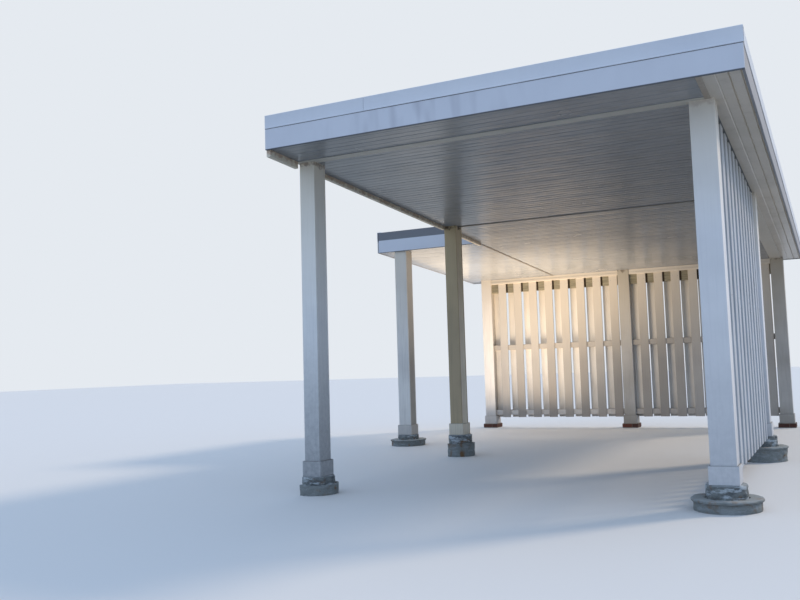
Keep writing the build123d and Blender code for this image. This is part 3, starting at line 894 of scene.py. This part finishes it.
def ceilingPanel(node, look, material, slotName, phase, across, seed):
    # Lower face: z = ceiling line + rib height + sag times an uneven field of long waves.
    # Ribs run along X, or where across is False down the slope.
    low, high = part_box(node)
    if across:
        y, rib = ribStops(low.y, high.y, look["pitch"] / 2, phase, look)
        x = np.linspace(low.x, high.x, round((high.x - low.x) / look["step"]) + 1)
        rib = rib[:, None]
    else:
        x, rib = ribStops(low.x, high.x, look["pitch"], phase, look)
        y = np.linspace(low.y, high.y, round((high.y - low.y) / look["step"]) + 1)
    gridX, gridY = np.meshgrid(x, y)
    plan = np.stack([gridX, gridY], -1)
    long, short = look["waves"]
    wave = look["sag"] * (ripple(plan * (1, 2.2), long, seed)
                          + 0.5 * ripple(plan * (1, 3), short, seed + 1))
    line = ceilingAt(gridY)
    lower = line + rib + np.clip(wave, -look["sagMost"], look["sagMost"])
    makePiece(pieceName(node), [slab(np.dstack([gridX, gridY, lower]),
                                     np.dstack([gridX, gridY, line + look["thick"]]))],
              [material], [node])


# Node, panel, material, slot, the first joint's rib, and whether the ribs run along X
panels = (("soffit_front", soffitPanel, shadedCeilingMetal, "painted_soffit", 2, True),
          ("ceiling_front", panelLook, shadedCeilingMetal, "gloss_ceiling_panel", 0, True),
          ("ceiling_rear", deepPanel, shadedCeilingMetal, "gloss_ceiling_panel", 2, True),
          ("ceiling_extension", deepPanel, shadedCeilingMetal, "gloss_ceiling_panel", 1, True),
          ("soffit_right", sidePanel, warmLitSoffitMetal, "painted_soffit", 0, False))
for number, panel in enumerate(panels):
    ceilingPanel(*panel, 600 + 10 * number)
print("ceilings made")


# Trim boards under the ceiling, each along its node's longer side

trimLook = dict(
    chamfer=0.0015, bow=0.0006, flange=0.062, flangeThick=0.004, flangeChamfer=0.0008,
    bead=0.012, cleanFrom=-0.15, cleanFade=0.4,
    leftDeeps=(0.064, 0.042, 0.042), leftWide=0.038, leftChamfer=0.002)


def trimBoard(low, high, look, seed, material=0):
    # A board that follows the ceiling from end to end; its face is square to the slope
    (x0, y0, z0), (x1, y1, z1) = low, high
    slope = roofLook["slope"]
    deep = z1 - z0 - slope * (y1 - y0)
    x, y = (x0 + x1) / 2, (y0 + y1) / 2
    if x1 - x0 > y1 - y0:
        wide, across = y1 - y0, (0, 1, -slope)
        ends = (x0, y, ceilingAt(y) - deep / 2), (x1, y, ceilingAt(y) - deep / 2)
    else:
        wide, across = x1 - x0, right
        ends = (x, y0, ceilingAt(y0) - deep / 2), (x, y1, ceilingAt(y1) - deep / 2)
    return carry(boardSection(wide, deep, look["chamfer"]), *ends, across, up, steps=20,
                 bow=look["bow"], seed=seed, material=material)


trims = dict(trim_corner="cornerTrimPaint", trim_seam="dimTrimPaint", trim_right_beam="trimPaint")
for number, (node, paint) in enumerate(trims.items()):
    makePiece(pieceName(node), [trimBoard(*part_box(node), trimLook, 700 + number)], [paints[paint]],
              [node])

# The front trim has a thin flange behind it, on the crowns of the ceiling
low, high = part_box("trim_front")
deep = trimLook["flange"]
flange = trimBoard((low.x, high.y, 0),
                   (high.x, high.y + deep, trimLook["flangeThick"] + roofLook["slope"] * deep),
                   dict(trimLook, chamfer=trimLook["flangeChamfer"]), 708)
makePiece("trimFront", [trimBoard(low, high, trimLook, 709), flange], [paints["frontTrimPaint"]],
          ["trim_front"])

# The middle trim is painted dark as shade, darkest at its left end and lighter from there on,
# with a pale bead along its rear edge as a painted highlight
low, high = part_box("trim_mid")
split = high.y - trimLook["bead"]
dark = trimBoard(low, (high.x, split, high.z), trimLook, 710)
along = dark["points"][:, 0] - trimLook["cleanFrom"]
dark["tone"] = np.clip(along / trimLook["cleanFade"], 0, 1)
bead = trimBoard((low.x, split, low.z), high, trimLook, 711, material=1)
makePiece("trimMid", [dark, bead], [paints["midTrimPaint"], paints["trimPaint"]],
          ["trim_mid"])

# The left side's trim runs in three lengths, between the posts
low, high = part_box("trim_wall")
(_, frontPost), (midPost, midPostEnd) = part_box("post_front_left"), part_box("post_mid_left")
skirt = postLook["skirtBoard"]
lengths = ((low.y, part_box("trim_front")[0].y), (frontPost.y - skirt, midPost.y + skirt),
           (midPostEnd.y - skirt, high.y))
x = (low.x + high.x) / 2
parts = []
for number, ((y0, y1), deep) in enumerate(zip(lengths, trimLook["leftDeeps"])):
    section = boardSection(deep, trimLook["leftWide"], trimLook["leftChamfer"])
    parts.append(carry(section, (x, y0, ceilingAt(y0) - deep / 2), (x, y1, ceilingAt(y1) - deep / 2),
                       up, right, steps=16, seed=720 + number))
makePiece("wallTrim", parts, [paints["wallTrimPaint"]], ["trim_wall"])
print("trim made")


# Concrete piers: outlines turned about the post's axis, uneven and chipped

pierLook = dict(
    pier=0.150, footing=0.242, collar=0.256, collarThick=0.022, leftFooting=0.180,
    collarTops=(0.090, 0.155), tall=0.2,    # collar's height under a low pier and a tall one
    rough=0.0035, chip=0.012, settle=0.0012, plain=0.25, step=0.008, around=120,
    # The outline from the foot up: a radius and what is added to it, a level and what is added
    outline=(("foot", -0.004, "base", 0), ("foot", -0.001, "base", 0.010), ("foot", 0, "under", 0),
             ("brim", -0.002, "under", 0.002), ("brim", 0, "half", 0), ("brim", -0.006, "face", -0.003),
             ("brim", -0.016, "face", 0), ("pier", 0.012, "face", -0.001),
             ("pier", 0.008, "face", -0.009), ("pier", -0.003, "face", -0.009),
             ("pier", -0.003, "face", 0.005), ("pier", 0, "face", 0.018), ("pier", 0, "top", -0.014),
             ("pier", -0.004, "top", -0.004), ("pier", -0.012, "top", 0)))


def makePier(node, post, look, seed):
    # point = axis + radius (cos u, sin u), with the radius along the outline less the size of
    # an uneven field. On the left side x is held at the roof's edge.
    low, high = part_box(node)
    postLow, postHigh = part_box(post)
    axisX, axisY = (postLow.x + postHigh.x) / 2, (postLow.y + postHigh.y) / 2
    top, pier = high.z, look["pier"]
    face = look["collarTops"][top >= look["tall"]]
    foot, brim, thick = look["footing"], look["collar"], look["collarThick"]
    if low.x > axisX - look["leftFooting"] + 0.001:
        foot, brim, thick = look["leftFooting"], look["leftFooting"], 0
    radii = dict(foot=foot, brim=brim, pier=pier)
    levels = dict(base=0, under=face - thick, half=face - thick / 2, face=face, top=top)
    corners = np.array([(radii[r] + inset, levels[at] + rise) for r, inset, at, rise in look["outline"]])
    gaps = np.linalg.norm(np.diff(corners, axis=0), axis=1)
    at = np.concatenate([[0], np.cumsum(gaps)])
    v = np.unique(np.concatenate([at, np.arange(0, at[-1], look["step"])]))
    radius, z = np.interp(v, at, corners[:, 0]), np.interp(v, at, corners[:, 1])
    u = np.linspace(0, 2 * np.pi, look["around"], endpoint=False)
    unit = np.stack([np.cos(u), np.sin(u)], -1)
    ring = radius[:, None, None] * unit[None] + np.array([axisX, axisY])
    points = np.dstack([ring, np.repeat(z[:, None], len(u), 1)])
    rough = ripple(points, 0.09, seed) + 0.6 * ripple(points, 0.03, seed + 1)
    # Chips of the collar's brim
    chip = np.clip(ripple(points[..., :2], 0.12, seed + 2) - 0.9, 0, 1)
    chip = chip * (radius > pier + 0.05)[:, None]
    inward = look["rough"] * (0.8 + rough) / 1.6 + look["chip"] * chip
    inward = np.clip(inward, 0, None)[..., None] * unit[None]
    inward[z < 0.001] = 0
    points[..., :2] -= inward
    between = ((z > 0.002) & (z < top - 0.001))[:, None]
    points[..., 2] -= np.where(between, look["settle"] * (1 + rough), 0)
    points[..., 0] = np.maximum(points[..., 0], low.x)
    rows, around = points.shape[:2]
    index = np.arange(rows * around).reshape(rows, around)
    turned = np.roll(index, -1, axis=1)
    walls = np.stack([index[:-1], turned[:-1], turned[1:], index[1:]], -1).reshape(-1, 4)
    caps = np.stack([index[0, ::-1], index[-1]])
    flat = points.reshape(-1, 3)
    # The footing and collar are less mottled than the pier
    tone = np.repeat(np.where(radius > pier + 0.011, look["plain"], 1.0), around)
    part = dict(points=flat, faces=[walls, caps], grain=flat.copy(), tone=tone)
    makePiece(pieceName(node), [part], [pierConcrete], [node], sharp=50)


for number, spot in enumerate(("front_left", "front_right", "mid_left", "mid_right", "extension")):
    makePier("pier_" + spot, "post_" + spot, pierLook, 800 + 10 * number)
print("piers made")


# Brick bases: four bricks set like a pinwheel round a core of mortar

brickLook = dict(
    wide=0.092, high=0.058, bed=0.008, joint=0.006, proud=0.003, chamfer=0.003, coreChamfer=0.002,
    uneven=0.0012)


def brickBase(node, look, seed):
    # Each brick starts at a corner and runs along its side, a quarter turn from the last one
    low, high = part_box(node)
    midX, midY, half = (low.x + high.x) / 2, (low.y + high.y) / 2, (high.x - low.x) / 2
    wide = look["wide"]
    length = 2 * half - wide - look["joint"]
    centre = np.array([midX, midY, look["bed"] + look["high"] / 2])
    section = boardSection(look["high"], wide, look["chamfer"])
    parts = []
    for turn in range(4):
        angle = turn * math.pi / 2
        along = np.array([math.cos(angle), math.sin(angle), 0])
        out = np.array([math.sin(angle), -math.cos(angle), 0])
        start = centre - along * half + out * (half - wide / 2)
        part = carry(section, start, start + along * length, up, out, steps=8, seed=seed + turn)
        worn = look["uneven"] * np.abs(ripple(part["points"], 0.04, seed + turn))
        part["points"] -= worn[:, None] * out
        parts.append(part)
    core = 2 * (half - look["proud"])
    parts.append(carry(boardSection(core, core, look["coreChamfer"]), (midX, midY, low.z),
                       (midX, midY, high.z), right, back, steps=4, seed=seed + 8, material=1))
    makePiece(pieceName(node), parts, [brick, mortar], [node])


for number, spot in enumerate(("rear_left", "rear_mid", "rear_right")):
    brickBase("brick_base_" + spot, brickLook, 860 + 10 * number)
print("brick bases made")


# Roofing: strips of mineral felt laid across the slope, each lapping the one below it

feltLook = dict(
    width=0.914, lap=0.080, thick=0.0028, tuck=0.0006, wave=0.0004, step=0.15,
    edgeTone=0.1, tone=0.4, toneSpread=0.2, margin=0.042, seam=0.002)


def makeFelt(name, x0, x1, y0, y1, look, seed):
    # Strip height above the deck: from tuck at its upper edge to one thickness and a bit where
    # it lies over the next strip, plus small waves
    parts = []
    pitch = look["width"] - look["lap"]
    for i in range(math.ceil((y1 - y0) / pitch)):
        top, bottom = y0 + i * pitch, min(y0 + i * pitch + look["width"], y1)
        gridX, gridY = np.meshgrid(np.linspace(x0, x1, round((x1 - x0) / look["step"]) + 1),
                                   np.linspace(top, bottom, 7))
        lift = look["tuck"] + (gridY - top) / (bottom - top) * look["thick"] * 0.6
        lift = lift + look["wave"] * (1 + ripple(np.stack([gridX, gridY], -1), 0.5, seed + i))
        under = ceilingAt(gridY) + roofLook["deck"] + lift
        sheet = slab(np.dstack([gridX, gridY, under]),
                     np.dstack([gridX, gridY, under + look["thick"] * 0.8]))
        # Each strip is a little lighter or darker, and darker at its lower edge
        edge = sheet["points"][:, 1] > bottom - 0.001
        own = look["tone"] + look["toneSpread"] * math.sin(2.4 * i + seed)
        sheet["tone"] = np.where(edge, look["edgeTone"], own)
        parts.append(sheet)
    makePiece(name, parts, [roofFelt])


margin, seam = feltLook["margin"], feltLook["seam"]
low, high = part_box("deck_main")
makeFelt("roofFeltMain", low.x + seam, high.x - margin, low.y + margin, high.y - margin, feltLook, 900)
low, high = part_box("deck_extension")
makeFelt("roofFeltExtension", low.x + margin, high.x + seam, low.y + seam, high.y - margin, feltLook,
         940)

for node in ("wall_ledger", "beam_front", "beam_mid", "beam_rear", "deck_main", "deck_extension"):
    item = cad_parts[node]
    item.data.materials.clear()
    item.data.materials.append(framingWood)
print("roof made")

bpy.context.scene.view_settings.view_transform = "Standard"
